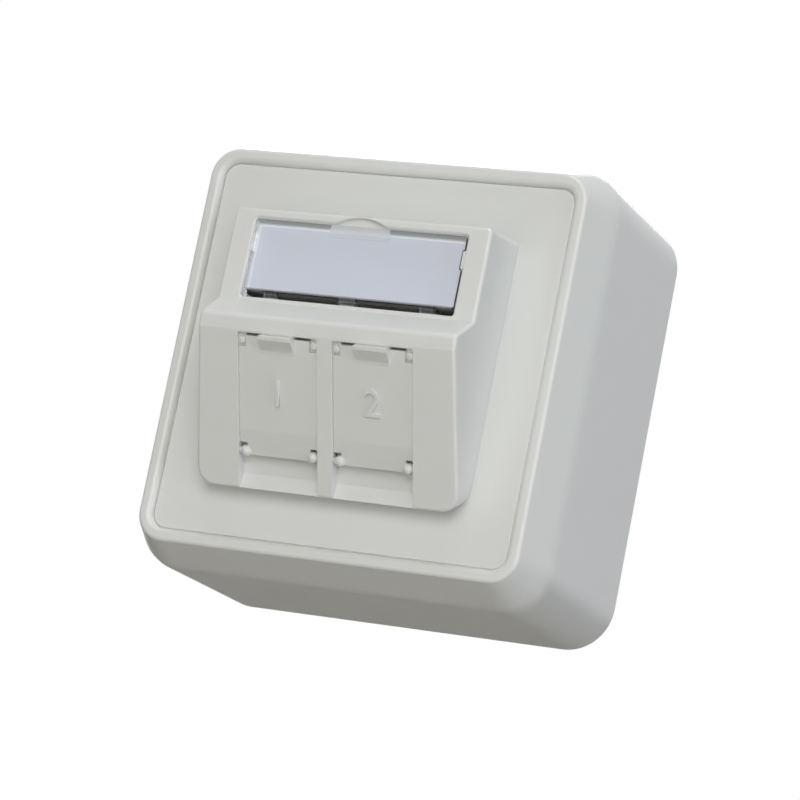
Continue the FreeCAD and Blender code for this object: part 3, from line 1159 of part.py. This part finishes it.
def wiring_cap(name, side):
    body = new_body(name)
    start = g.jack_long + 0.05
    block = Drawing(body, name + "_outline", off=-start).rounded(0, 0, g.jack_wide, g.jack_tall + 0.6, 1.2)
    pad(body, name + "_block", block, g.cap_long, reverse=True)
    blades = Drawing(body, name + "_blade_slots", off=-start)
    for z in (-1, 1):
        for k in range(4):
            blades.box(g.blade_spacing * (k - 1.5), g.blade_row * z, g.blade_thick + 0.5, g.blade_tall + 0.6)
    cut(body, name + "_blade_slots_cut", blades, g.blade_long - g.blade_sunk + 0.6)
    wires = Drawing(body, name + "_wire_slots", off=-start)
    edge = (g.jack_tall + 0.6) / 2
    for z in (-1, 1):
        for k in range(4):
            wires.box(g.blade_spacing * (k - 1.5), (edge - 0.6) * z, 1.3, 1.6)
    cut(body, name + "_wire_slots_cut", wires, 6.6)
    entry = Drawing(body, name + "_wire_entry", off=-(start + g.cap_long)).slot(0, 0, 9.0, 4.6)
    cut(body, name + "_entry", entry, 4.0, reverse=True)

    def back_edge(e):
        box = e.BoundBox
        behind = near(box.YMin, start + g.cap_long) and near(box.YMax, start + g.cap_long)
        return behind and box.XLength > 0.01 and max(abs(box.ZMax), abs(box.ZMin)) > edge.value - 0.05

    chamfer(body, name + "_back_edge", back_edge, 0.6)
    jack_place(body, side)
    return body


def make_jacks():
    for word, side in (("left", -1), ("right", 1)):
        jack_body("jack_body_" + word, side)
        jack_contacts("jack_contacts_" + word, side)
        jack_shield("jack_shield_" + word, side)
        wire_terminals("wire_terminals_" + word, side)
        wiring_cap("wiring_cap_" + word, side)


def check_and_write():
    doc.recompute()
    for thing in doc.Objects:
        if any(word in ("Invalid", "Error") for word in thing.State):
            raise RuntimeError("%s is %s" % (thing.Name, thing.State))
    for body in [o for o in doc.Objects if o.TypeId == "PartDesign::Body"]:
        shape = body.Shape
        if shape.isNull() or not shape.isValid():
            raise RuntimeError("%s is not a sound solid" % body.Label)
        shape.exportStep("parts/%s.step" % body.Label)
        box = shape.BoundBox
        room = (box.XMin, box.XMax, box.YMin, box.YMax, box.ZMin, box.ZMax)
        print("%-22s %2d solid(s) %9.1f mm3" % (body.Label, len(shape.Solids), shape.Volume),
              "x %.1f..%.1f  y %.1f..%.1f  z %.1f..%.1f" % room)


for make in (make_housing, make_base_plate, make_cover_plate, make_flaps, make_label_cover, make_label_card,
             make_module_carrier, make_jacks, make_earth_terminal, make_cable_clamp, make_fixings):
    make()
    print("built", make.__name__)
check_and_write()
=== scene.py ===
import bpy
import json
import math
from mathutils import Matrix, Vector


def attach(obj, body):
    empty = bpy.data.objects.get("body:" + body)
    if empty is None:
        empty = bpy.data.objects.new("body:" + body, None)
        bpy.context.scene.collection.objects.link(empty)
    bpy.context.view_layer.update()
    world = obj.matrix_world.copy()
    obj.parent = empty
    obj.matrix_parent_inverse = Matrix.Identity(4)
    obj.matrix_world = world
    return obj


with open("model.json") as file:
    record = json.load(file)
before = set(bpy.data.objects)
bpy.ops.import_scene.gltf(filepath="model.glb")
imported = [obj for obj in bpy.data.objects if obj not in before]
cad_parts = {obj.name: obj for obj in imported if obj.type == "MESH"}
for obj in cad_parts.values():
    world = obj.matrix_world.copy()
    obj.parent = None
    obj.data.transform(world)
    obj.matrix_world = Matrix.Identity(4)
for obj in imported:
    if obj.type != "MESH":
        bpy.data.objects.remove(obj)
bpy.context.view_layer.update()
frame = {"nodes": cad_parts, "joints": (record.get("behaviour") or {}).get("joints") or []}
nodes = frame["nodes"]
mm = 0.001
print("frame loaded:", len(nodes), "nodes")


def hexToLinear(code):
    # "#RRGGBB" as it looks on a screen, turned to the linear values that shaders take
    levels = [int(code[i:i + 2], 16) / 255 for i in (1, 3, 5)]
    return [c / 12.92 if c <= 0.04045 else ((c + 0.055) / 1.055) ** 2.4 for c in levels] + [1.0]


def setSockets(node, sockets):
    # each socket gets a value, or a link from another node's output; "n2" is the socket numbered 2
    for key, value in sockets.items():
        numbered = key[0] == "n" and key[1:].isdigit()
        socket = node.inputs[int(key[1:])] if numbered else node.inputs[key.replace("_", " ")]
        if isinstance(value, bpy.types.NodeSocket):
            node.id_data.links.new(value, socket)
        else:
            socket.default_value = value


def addNode(tree, kind, settings=None, **sockets):
    # a node with its settings and its sockets
    node = tree.nodes.new(kind)
    for key, value in (settings or {}).items():
        setattr(node, key, value)
    setSockets(node, sockets)
    return node


# camera, below the box and to its right

camera = {
    "placeMm": (255.6, -583.6, -127.3),
    "turnDegrees": (101.683, -11.093, 22.180),
    "focalMm": 156.6,
    "sensorMm": 36.0,
    "clipMetres": (0.05, 20.0),
}


def makeCamera():
    data = bpy.data.cameras.new("camera")
    data.lens, data.sensor_width = camera["focalMm"], camera["sensorMm"]
    data.clip_start, data.clip_end = camera["clipMetres"]
    eye = bpy.data.objects.new("camera", data)
    eye.location = [v * mm for v in camera["placeMm"]]
    eye.rotation_euler = [math.radians(a) for a in camera["turnDegrees"]]
    bpy.context.scene.collection.objects.link(eye)
    bpy.context.scene.camera = eye


# light, world and floor

studio = {
    "aimMm": (0, -30, 0),
    "lamps": {  # which way each softbox hangs from the aim, how far, its side, its power and its tint
        "frontSoftbox": {"towards": (0.298, -0.919, 0.259), "metres": 1.2, "size": 0.8, "watts": 6.75,
                         "hex": "#FFFFFC"},
        "overheadSoftbox": {"towards": (0.0, -0.120, 0.993), "metres": 1.2, "size": 0.5, "watts": 5.0,
                            "hex": "#FFFFFF"},
        "sideSoftbox": {"towards": (0.970, -0.200, -0.080), "metres": 1.2, "size": 0.5, "watts": 4.4,
                        "hex": "#ECF2FF"},
        "lowSoftbox": {"towards": (-0.100, -0.930, -0.350), "metres": 0.55, "size": 0.22, "watts": 0.37,
                       "hex": "#FCFBF8"},
        "rearSoftbox": {"towards": (-0.35, 0.86, 0.40), "metres": 1.3, "size": 0.5, "watts": 2.4,
                        "hex": "#FFFFFF"},
        "highSoftbox": {"towards": (0.0, -0.866, 0.5), "metres": 1.2, "size": 0.8, "watts": 0.9,
                        "hex": "#FFFFFF"},
    },
    "worldHex": "#FFFFFF",
    "worldLevel": 0.075,  # what the room adds to the lamps
    "whiteLevel": 1.0,  # what the camera, mirrors and clear pieces see of the room
    "floorDropMm": 320,
    "floorMetres": 6.0,
    "floorHex": "#B4B0A8",
    "mottleHex": "#BCB8B0",
    "mottleMm": 60,
    "floorRoughness": 0.9,
    "liftHex": "#FFFFFF",
    "floorLift": 0.86,
}


def makeStudio():
    aim = Vector(studio["aimMm"]) * mm
    for name, lamp in studio["lamps"].items():
        data = bpy.data.lights.new(name, "AREA")
        data.shape, data.size, data.energy = "SQUARE", lamp["size"], lamp["watts"]
        data.color = hexToLinear(lamp["hex"])[:3]
        softbox = bpy.data.objects.new(name, data)
        away = Vector(lamp["towards"]).normalized()
        softbox.location = aim + away * lamp["metres"]
        softbox.rotation_mode = "QUATERNION"
        softbox.rotation_quaternion = away.to_track_quat("Z", "Y")
        bpy.context.scene.collection.objects.link(softbox)

    bpy.context.scene.view_settings.view_transform = "Standard"
    world = bpy.data.worlds.new("paleRoom")
    bpy.context.scene.world = world
    world.use_nodes = True
    tree = world.node_tree
    tree.nodes.clear()
    path = addNode(tree, "ShaderNodeLightPath")
    level = studio["worldLevel"]
    for ray in ("Is Glossy Ray", "Is Transmission Ray", "Is Camera Ray"):
        level = addNode(tree, "ShaderNodeMix", {"data_type": "FLOAT"}, n0=path.outputs[ray], n2=level,
                        n3=studio["whiteLevel"]).outputs[0]
    light = addNode(tree, "ShaderNodeBackground", None, Color=hexToLinear(studio["worldHex"]), Strength=level)
    addNode(tree, "ShaderNodeOutputWorld", None, Surface=light.outputs[0])

    half = studio["floorMetres"] / 2
    low = -studio["floorDropMm"] * mm
    corners = [(-half, -half, low), (half, -half, low), (half, half, low), (-half, half, low)]
    mesh = bpy.data.meshes.new("floor")
    mesh.from_pydata(corners, [], [(0, 1, 2, 3)])
    floor = bpy.data.objects.new("floor", mesh)
    bpy.context.scene.collection.objects.link(floor)
    floor.data.materials.append(paleFloorPaint())


def paleFloorPaint():
    # matt painted board: soft, with a faint mottle, lifted towards white where the camera sees it
    material, tree, shader = newMaterial("paleFloorPaint")
    mottle = addNode(tree, "ShaderNodeTexNoise", None, Vector=objectMm(tree), Scale=1 / studio["mottleMm"],
                     Detail=3.0)
    tone = addNode(tree, "ShaderNodeMix", {"data_type": "RGBA"}, Factor=mottle.outputs["Fac"],
                   n6=hexToLinear(studio["floorHex"]), n7=hexToLinear(studio["mottleHex"]))
    path = addNode(tree, "ShaderNodeLightPath")
    lift = addNode(tree, "ShaderNodeMath", {"operation": "MULTIPLY"}, n0=path.outputs["Is Camera Ray"],
                   n1=studio["floorLift"])
    setSockets(shader, {"Base Color": tone.outputs[2], "Roughness": studio["floorRoughness"],
                        "Emission Color": hexToLinear(studio["liftHex"]),
                        "Emission Strength": lift.outputs[0]})
    return material


def newMaterial(name):
    material = bpy.data.materials.new(name)
    material.use_nodes = True
    tree = material.node_tree
    tree.nodes.clear()
    shader = addNode(tree, "ShaderNodeBsdfPrincipled")
    addNode(tree, "ShaderNodeOutputMaterial", None, Surface=shader.outputs[0])
    return material, tree, shader


def objectMm(tree):
    # object coordinates in millimetres
    place = addNode(tree, "ShaderNodeTexCoord")
    return addNode(tree, "ShaderNodeVectorMath", {"operation": "SCALE"}, n0=place.outputs["Object"],
                   Scale=1 / mm).outputs[0]


# what the moulded plastics share, where one of them doesn't say otherwise
anyPlastic = {
    "ior": 1.56,
    "creep": 0.3,  # share of the light that goes under the skin, which softens the edges
    "creepMm": 0.8,
    "creepReach": (1.0, 0.95, 0.85),
    "gapMm": 0.4,  # painted light: surfaces that face each other closer than this are made to glow faintly, standing in for light that comes through thin white walls
    "gapOpenness": (0.20, 0.50),
    "gapSamples": 6,
    "paintedGapLight": 0.12,
    "paintedGapLightHex": "#EAE4CE",
}

plastics = {
    # ABS from a polished mould: near white with a trace of green, a soft gloss
    "whiteAbsMoulded": {"hex": "#DBDCDA", "driftHex": "#D8DAD8", "driftMm": 35, "cloudMm": 9,
                        "roughness": (0.30, 0.38),
                        "grainMm": 0.45, "grainStrength": 0.10, "grainHighMm": 0.010,
                        # painted shade: a dark patch over the slit under the label card
                        "slit": {"middleMm": (0, -47.9, 7.95), "halfMm": (20.1, 3.6, 0.25), "edgeMm": 0.12,
                                 "hex": "#32312F"}},
    # the flaps are another batch of ABS: a touch warmer and duller
    "flapAbsMoulded": {"hex": "#D9DAD8", "driftHex": "#D6D7D5", "driftMm": 14, "cloudMm": 5,
                       "roughness": (0.36, 0.44),
                       "grainMm": 0.35, "grainStrength": 0.14, "grainHighMm": 0.012},
    # ABS from a sandblasted mould: the same white, dull
    "whiteAbsBlasted": {"hex": "#D3D5D0", "driftHex": "#CFD1CC", "driftMm": 28, "cloudMm": 6,
                        "roughness": (0.52, 0.62),
                        "grainMm": 0.30, "grainStrength": 0.30, "grainHighMm": 0.020},
    # glass-filled PBT: almost black, dull, with a coarse grain, and no light goes into it
    "blackPbtMoulded": {"hex": "#1C1D1F", "driftHex": "#232426", "driftMm": 8, "cloudMm": 3,
                        "roughness": (0.42, 0.55),
                        "grainMm": 0.25, "grainStrength": 0.30, "grainHighMm": 0.020,
                        "ior": 1.55, "creep": 0.0, "paintedGapLight": 0.0},
}


def mouldedPlastic(name, look):
    # even tone with a slow drift, a gloss that varies a little, the fine grain of the mould, a painted glow
    # in narrow gaps, and painted shade over the label slit where one is given
    look = {**anyPlastic, **look}
    material, tree, shader = newMaterial(name)
    spot = objectMm(tree)
    drift = addNode(tree, "ShaderNodeTexNoise", None, Vector=spot, Scale=1 / look["driftMm"], Detail=2.0)
    colour = addNode(tree, "ShaderNodeMix", {"data_type": "RGBA"}, Factor=drift.outputs["Fac"],
                     n6=hexToLinear(look["hex"]), n7=hexToLinear(look["driftHex"])).outputs[2]
    # painted shade over the slit under the label card
    if "slit" in look:
        colour = paintSlitShade(tree, spot, colour, look["slit"])
    cloud = addNode(tree, "ShaderNodeTexNoise", None, Vector=spot, Scale=1 / look["cloudMm"], Detail=3.0)
    gloss = addNode(tree, "ShaderNodeMapRange", None, Value=cloud.outputs["Fac"],
                    To_Min=look["roughness"][0], To_Max=look["roughness"][1])
    # painted light: where nearby surfaces shut out the room, the plastic is made to glow faintly
    shut = addNode(tree, "ShaderNodeAmbientOcclusion", {"samples": look["gapSamples"]},
                   Distance=look["gapMm"] * mm)
    paintedGapGlow = addNode(tree, "ShaderNodeMapRange", None, Value=shut.outputs["AO"],
                   From_Min=look["gapOpenness"][0], From_Max=look["gapOpenness"][1],
                   To_Min=look["paintedGapLight"], To_Max=0.0)
    grain = addNode(tree, "ShaderNodeTexNoise", None, Vector=spot, Scale=1 / look["grainMm"], Detail=2.0)
    bump = addNode(tree, "ShaderNodeBump", None, Height=grain.outputs["Fac"], Strength=look["grainStrength"],
                   Distance=look["grainHighMm"] * mm)
    setSockets(shader, {
        "Base Color": colour, "Roughness": gloss.outputs[0], "IOR": look["ior"], "Normal": bump.outputs[0],
        "Subsurface Weight": look["creep"], "Subsurface Scale": look["creepMm"] * mm,
        "Subsurface Radius": look["creepReach"],
        "Emission Color": hexToLinear(look["paintedGapLightHex"]), "Emission Strength": paintedGapGlow.outputs[0],
    })
    return material


def paintSlitShade(tree, spot, colour, slit):
    # painted shade: the slit under the label card, where next to no light comes in, is coloured dark
    part = addNode(tree, "ShaderNodeSeparateXYZ", None, Vector=spot)
    shade = 1.0
    for axis, middle, half in zip("XYZ", slit["middleMm"], slit["halfMm"]):
        off = addNode(tree, "ShaderNodeMath", {"operation": "SUBTRACT"}, n0=part.outputs[axis], n1=middle)
        off = addNode(tree, "ShaderNodeMath", {"operation": "ABSOLUTE"}, n0=off.outputs[0])
        near = addNode(tree, "ShaderNodeMapRange", None, Value=off.outputs[0],
                       From_Min=half, From_Max=half + slit["edgeMm"], To_Min=1.0, To_Max=0.0)
        shade = addNode(tree, "ShaderNodeMath", {"operation": "MULTIPLY"},
                        n0=near.outputs[0], n1=shade).outputs[0]
    return addNode(tree, "ShaderNodeMix", {"data_type": "RGBA"}, Factor=shade, n6=colour,
                   n7=hexToLinear(slit["hex"])).outputs[2]


anyMetal = {"lineStrength": 0.25, "lineHighMm": 0.01}  # the rolling or turning lines of them all

metals = {
    # cold-rolled steel sheet, zinc plated: grey, faintly blue, dull shine
    "zincPlatedSheet": {"hex": "#B4B8BB", "cloudHex": "#A4A9AD", "lineScale": (0.08, 1, 1), "lineMm": 0.3,
                        "cloudMm": 6, "roughness": (0.28, 0.42)},
    # turned steel screws, zinc plated: brighter than the sheet
    "zincPlatedScrews": {"hex": "#BBBEC0", "cloudHex": "#A9ADB0", "lineScale": (1, 0.1, 1), "lineMm": 0.2,
                         "cloudMm": 2, "roughness": (0.22, 0.36)},
    # bronze wire with a gold flash: warm yellow and bright
    "goldFlashedWire": {"hex": "#E3BD62", "cloudHex": "#D8AE52", "lineScale": (1, 0.1, 1), "lineMm": 0.15,
                        "cloudMm": 2, "roughness": (0.15, 0.24)},
    # phosphor bronze, tinned: pale and dull
    "tinnedBronze": {"hex": "#B9B3A8", "cloudHex": "#A79F92", "lineScale": (1, 0.1, 1), "lineMm": 0.2,
                     "cloudMm": 3, "roughness": (0.30, 0.42)},
    # stamped brass strip: yellow with soft rolling lines
    "stampedBrass": {"hex": "#C8A65C", "cloudHex": "#B7944C", "lineScale": (0.1, 1, 1), "lineMm": 0.25,
                     "cloudMm": 4, "roughness": (0.25, 0.38)},
}


def rolledMetal(name, look):
    # rolled or turned metal: fine lines along one axis and cloudy brightness
    look = {**anyMetal, **look}
    material, tree, shader = newMaterial(name)
    spot = objectMm(tree)
    stretched = addNode(tree, "ShaderNodeMapping", None, Vector=spot, Scale=look["lineScale"])
    lines = addNode(tree, "ShaderNodeTexNoise", None, Vector=stretched.outputs[0],
                    Scale=1 / look["lineMm"], Detail=4.0)
    cloud = addNode(tree, "ShaderNodeTexNoise", None, Vector=spot, Scale=1 / look["cloudMm"], Detail=3.0)
    tone = addNode(tree, "ShaderNodeMix", {"data_type": "RGBA"}, Factor=cloud.outputs["Fac"],
                   n6=hexToLinear(look["hex"]), n7=hexToLinear(look["cloudHex"]))
    gloss = addNode(tree, "ShaderNodeMapRange", None, Value=lines.outputs["Fac"],
                    To_Min=look["roughness"][0], To_Max=look["roughness"][1])
    bump = addNode(tree, "ShaderNodeBump", None, Height=lines.outputs["Fac"], Strength=look["lineStrength"],
                   Distance=look["lineHighMm"] * mm)
    setSockets(shader, {"Base Color": tone.outputs[2], "Metallic": 1.0, "Roughness": gloss.outputs[0],
                        "Normal": bump.outputs[0]})
    return material


acrylic = {
    "hex": "#F4F7FA",
    "ior": 1.49,
    "haze": (0.02, 0.06),
    "flowMm": 7,
    "flowStrength": 0.08,
    "flowHighMm": 0.05,
    "paintedEdgeShadeHex": "#3A3D3E",
    "paintedEdgeShade": (  # painted shade of each edge: across which axis, where it starts and is full, and how much it is
        {"across": "Z", "startMm": 8.45, "fullMm": 8.30, "most": 0.55},
        {"across": "Z", "startMm": 20.20, "fullMm": 20.40, "most": 0.45},
        {"across": "X", "startMm": 19.80, "fullMm": 20.00, "most": 0.40},
    ),
    "tab": {"halfMm": 5.6, "aboveMm": 19.5, "whiteness": (0.45, 0.65), "speckMm": 0.25, "hex": "#DADDDF"},
    "passHex": "#FBFCFD",
}


def clearAcrylic(name):
    # polished acrylic sheet: clear, with faint flow lines that bend what lies behind it, and painted shade
    # along its border
    material, tree, shader = newMaterial(name)
    spot = objectMm(tree)
    flow = addNode(tree, "ShaderNodeTexNoise", None, Vector=spot, Scale=1 / acrylic["flowMm"], Detail=1.0)
    bump = addNode(tree, "ShaderNodeBump", None, Height=flow.outputs["Fac"], Strength=acrylic["flowStrength"],
                   Distance=acrylic["flowHighMm"] * mm)
    haze = addNode(tree, "ShaderNodeMapRange", None, Value=flow.outputs["Fac"],
                   To_Min=acrylic["haze"][0], To_Max=acrylic["haze"][1])

    # painted shade: the border, which looks into the dark slit below and the shaded walls around, is coloured
    # dimmer than the middle
    part = addNode(tree, "ShaderNodeSeparateXYZ", None, Vector=spot)
    aside = addNode(tree, "ShaderNodeMath", {"operation": "ABSOLUTE"}, n0=part.outputs["X"])
    across = {"X": aside.outputs[0], "Z": part.outputs["Z"]}
    edgeShade = 0.0
    for edge in acrylic["paintedEdgeShade"]:
        step = addNode(tree, "ShaderNodeMapRange", None, Value=across[edge["across"]],
                       From_Min=edge["startMm"], From_Max=edge["fullMm"], To_Min=0.0, To_Max=edge["most"])
        edgeShade = addNode(tree, "ShaderNodeMath", {"operation": "MAXIMUM"}, n0=step.outputs[0], n1=edgeShade).outputs[0]
    tint = addNode(tree, "ShaderNodeMix", {"data_type": "RGBA"}, Factor=edgeShade,
                   n6=hexToLinear(acrylic["hex"]), n7=hexToLinear(acrylic["paintedEdgeShadeHex"]))
    setSockets(shader, {"Base Color": tint.outputs[2], "Roughness": haze.outputs[0], "IOR": acrylic["ior"],
                        "Transmission Weight": 1.0, "Normal": bump.outputs[0]})

    # the finger tab at the upper edge is frosted
    tab = acrylic["tab"]
    narrow = addNode(tree, "ShaderNodeMath", {"operation": "LESS_THAN"}, n0=aside.outputs[0],
                     n1=tab["halfMm"])
    upper = addNode(tree, "ShaderNodeMath", {"operation": "GREATER_THAN"}, n0=part.outputs["Z"],
                    n1=tab["aboveMm"])
    inside = addNode(tree, "ShaderNodeMath", {"operation": "MULTIPLY"}, n0=narrow.outputs[0],
                     n1=upper.outputs[0])
    speck = addNode(tree, "ShaderNodeTexNoise", None, Vector=spot, Scale=1 / tab["speckMm"], Detail=2.0)
    white = addNode(tree, "ShaderNodeMapRange", None, Value=speck.outputs["Fac"],
                    To_Min=tab["whiteness"][0], To_Max=tab["whiteness"][1])
    white = addNode(tree, "ShaderNodeMath", {"operation": "MULTIPLY"}, n0=white.outputs[0],
                    n1=inside.outputs[0])
    milk = addNode(tree, "ShaderNodeBsdfDiffuse", None, Color=hexToLinear(tab["hex"]))
    cloudy = addNode(tree, "ShaderNodeMixShader", None, n0=white.outputs[0], n1=shader.outputs[0],
                     n2=milk.outputs[0])

    # light for the card passes straight through
    path = addNode(tree, "ShaderNodeLightPath")
    passes = addNode(tree, "ShaderNodeMath", {"operation": "MAXIMUM"},
                     n0=path.outputs["Is Shadow Ray"], n1=path.outputs["Is Diffuse Ray"])
    clear = addNode(tree, "ShaderNodeBsdfTransparent", None, Color=hexToLinear(acrylic["passHex"]))
    both = addNode(tree, "ShaderNodeMixShader", None, n0=passes.outputs[0], n1=cloudy.outputs[0],
                   n2=clear.outputs[0])
    output = next(node for node in tree.nodes if node.type == "OUTPUT_MATERIAL")
    setSockets(output, {"Surface": both.outputs[0]})
    return material


card = {
    "hex": "#DFDFE9",
    "fibreHex": "#D9D9E4",
    "fibreMm": 0.3,
    "fibreStrength": 0.2,
    "fibreHighMm": 0.01,
    "roughness": 0.85,
    # painted highlight along the cut edges
    "paintedEdgeHighlight": {"sideMm": 19.5, "topMm": 19.9, "wideMm": 0.15, "shine": 0.22, "hex": "#F4F6FF"},
}


def whiteCard(name):
    # uncoated card: bluish white from its brightener, matt, with short fibres, and a painted highlight along
    # its cut edges
    material, tree, shader = newMaterial(name)
    spot = objectMm(tree)
    fibres = addNode(tree, "ShaderNodeTexNoise", None, Vector=spot, Scale=1 / card["fibreMm"], Detail=4.0,
                     Roughness=0.65)
    tone = addNode(tree, "ShaderNodeMix", {"data_type": "RGBA"}, Factor=fibres.outputs["Fac"],
                   n6=hexToLinear(card["hex"]), n7=hexToLinear(card["fibreHex"]))
    bump = addNode(tree, "ShaderNodeBump", None, Height=fibres.outputs["Fac"], Strength=card["fibreStrength"],
                   Distance=card["fibreHighMm"] * mm)

    # painted highlight: the cut edges are made to glow brighter than the face
    edge = card["paintedEdgeHighlight"]
    part = addNode(tree, "ShaderNodeSeparateXYZ", None, Vector=spot)
    aside = addNode(tree, "ShaderNodeMath", {"operation": "ABSOLUTE"}, n0=part.outputs["X"])
    sides = addNode(tree, "ShaderNodeMath", {"operation": "SUBTRACT"}, n0=aside.outputs[0], n1=edge["sideMm"])
    top = addNode(tree, "ShaderNodeMath", {"operation": "SUBTRACT"}, n0=part.outputs["Z"], n1=edge["topMm"])
    past = addNode(tree, "ShaderNodeMath", {"operation": "MAXIMUM"}, n0=sides.outputs[0], n1=top.outputs[0])
    shine = addNode(tree, "ShaderNodeMapRange", None, Value=past.outputs[0],
                    From_Min=0.0, From_Max=edge["wideMm"], To_Min=0.0, To_Max=edge["shine"])
    setSockets(shader, {"Base Color": tone.outputs[2], "Roughness": card["roughness"],
                        "Normal": bump.outputs[0],
                        "Emission Color": hexToLinear(edge["hex"]), "Emission Strength": shine.outputs[0]})
    return material


finishes = {
    "whiteAbsMoulded": ("housing", "cover_plate"),
    "flapAbsMoulded": ("flap_left", "flap_right"),
    "whiteAbsBlasted": ("base_plate", "cable_clamp"),
    "blackPbtMoulded": ("jack_body_left", "jack_body_right", "wiring_cap_left", "wiring_cap_right"),
    "zincPlatedSheet": ("module_carrier", "jack_shield_left", "jack_shield_right"),
    "zincPlatedScrews": ("cover_screws", "carrier_screws", "clamp_screws", "earth_screw"),
    "goldFlashedWire": ("jack_contacts_left", "jack_contacts_right"),
    "tinnedBronze": ("wire_terminals_left", "wire_terminals_right"),
    "stampedBrass": ("earth_terminal",),
    "clearAcrylic": ("label_cover",),
    "whiteCard": ("label_card",),
}


def dressNodes():
    made = {name: mouldedPlastic(name, look) for name, look in plastics.items()}
    made.update({name: rolledMetal(name, look) for name, look in metals.items()})
    made["clearAcrylic"] = clearAcrylic("clearAcrylic")
    made["whiteCard"] = whiteCard("whiteCard")
    for finish, pieces in finishes.items():
        for name in pieces:
            piece = nodes[name]
            piece.data.materials.clear()
            piece.data.materials.append(made[finish])
    return made


# port numbers, raised on the flaps

numerals = {
    "figures": {"flap_left": "1", "flap_right": "2"},
    "tallMm": 4.8,
    "tallShare": 0.7,  # how tall a figure is, as a share of the font's size
    "raisedMm": 0.32,
    "sunkMm": 0.05,
    "bevelMm": 0.05,
    "bevelSteps": 2,
    "tiltDegrees": 27.5,
    "abovePivotMm": 10.8,
    "fromPivotMm": 0.70,
}


def makeNumerals(materials):
    tilt = Matrix.Rotation(math.radians(90 + numerals["tiltDegrees"]), 4, "X")
    for body, figure in numerals["figures"].items():
        joint = next(j for j in frame["joints"] if j["child"] == body)
        font = bpy.data.curves.new("portNumber" + figure, "FONT")
        font.body, font.align_x, font.align_y = figure, "CENTER", "CENTER"
        font.size = numerals["tallMm"] * mm / numerals["tallShare"]
        font.extrude = (numerals["raisedMm"] + numerals["sunkMm"]) / 2 * mm
        font.bevel_depth, font.bevel_resolution = numerals["bevelMm"] * mm, numerals["bevelSteps"]
        text = bpy.data.objects.new("port_number_" + figure, font)
        lift = (numerals["fromPivotMm"] + (numerals["raisedMm"] - numerals["sunkMm"]) / 2) * mm
        up = numerals["abovePivotMm"] * mm
        text.matrix_world = Matrix.Translation(joint["pos_m"]) @ tilt @ Matrix.Translation((0, up, lift))
        text.data.materials.append(materials["flapAbsMoulded"])
        bpy.context.scene.collection.objects.link(text)
        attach(text, body)


makeCamera()
makeStudio()
print("camera and studio made")
materials = dressNodes()
print("nodes dressed:", sum(len(pieces) for pieces in finishes.values()))
makeNumerals(materials)
print("port numbers made")
